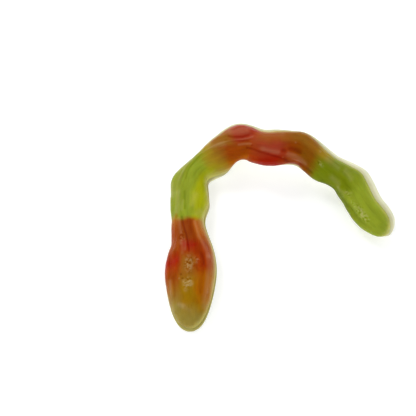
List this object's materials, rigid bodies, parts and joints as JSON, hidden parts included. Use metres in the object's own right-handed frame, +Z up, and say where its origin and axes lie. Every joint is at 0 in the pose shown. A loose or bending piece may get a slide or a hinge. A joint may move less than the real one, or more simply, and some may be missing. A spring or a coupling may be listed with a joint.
{
  "type": "gummy snake candy",
  "caption": "Foam-backed jelly snake sweet lying in a bend, with a broad wrinkled head, a narrow neck, a raised middle and a rounded tail.",
  "frame": {"origin": "on the table under the middle of the snake's box, seen from above", "axes": "+Z up from the table, +Y from the head towards the raised middle, +X from the head's arm to the tail's arm"},
  "size_m": [0.079, 0.0724, 0.0192],
  "materials": {
    "jelly": "cloudy see-through fruit jelly, soft oily gloss",
    "foam": "whipped gelatine foam, smooth and dull"
  },
  "bodies": {
    "root": {"jelly": "jelly", "foam": "foam"}
  },
  "joints": []
}
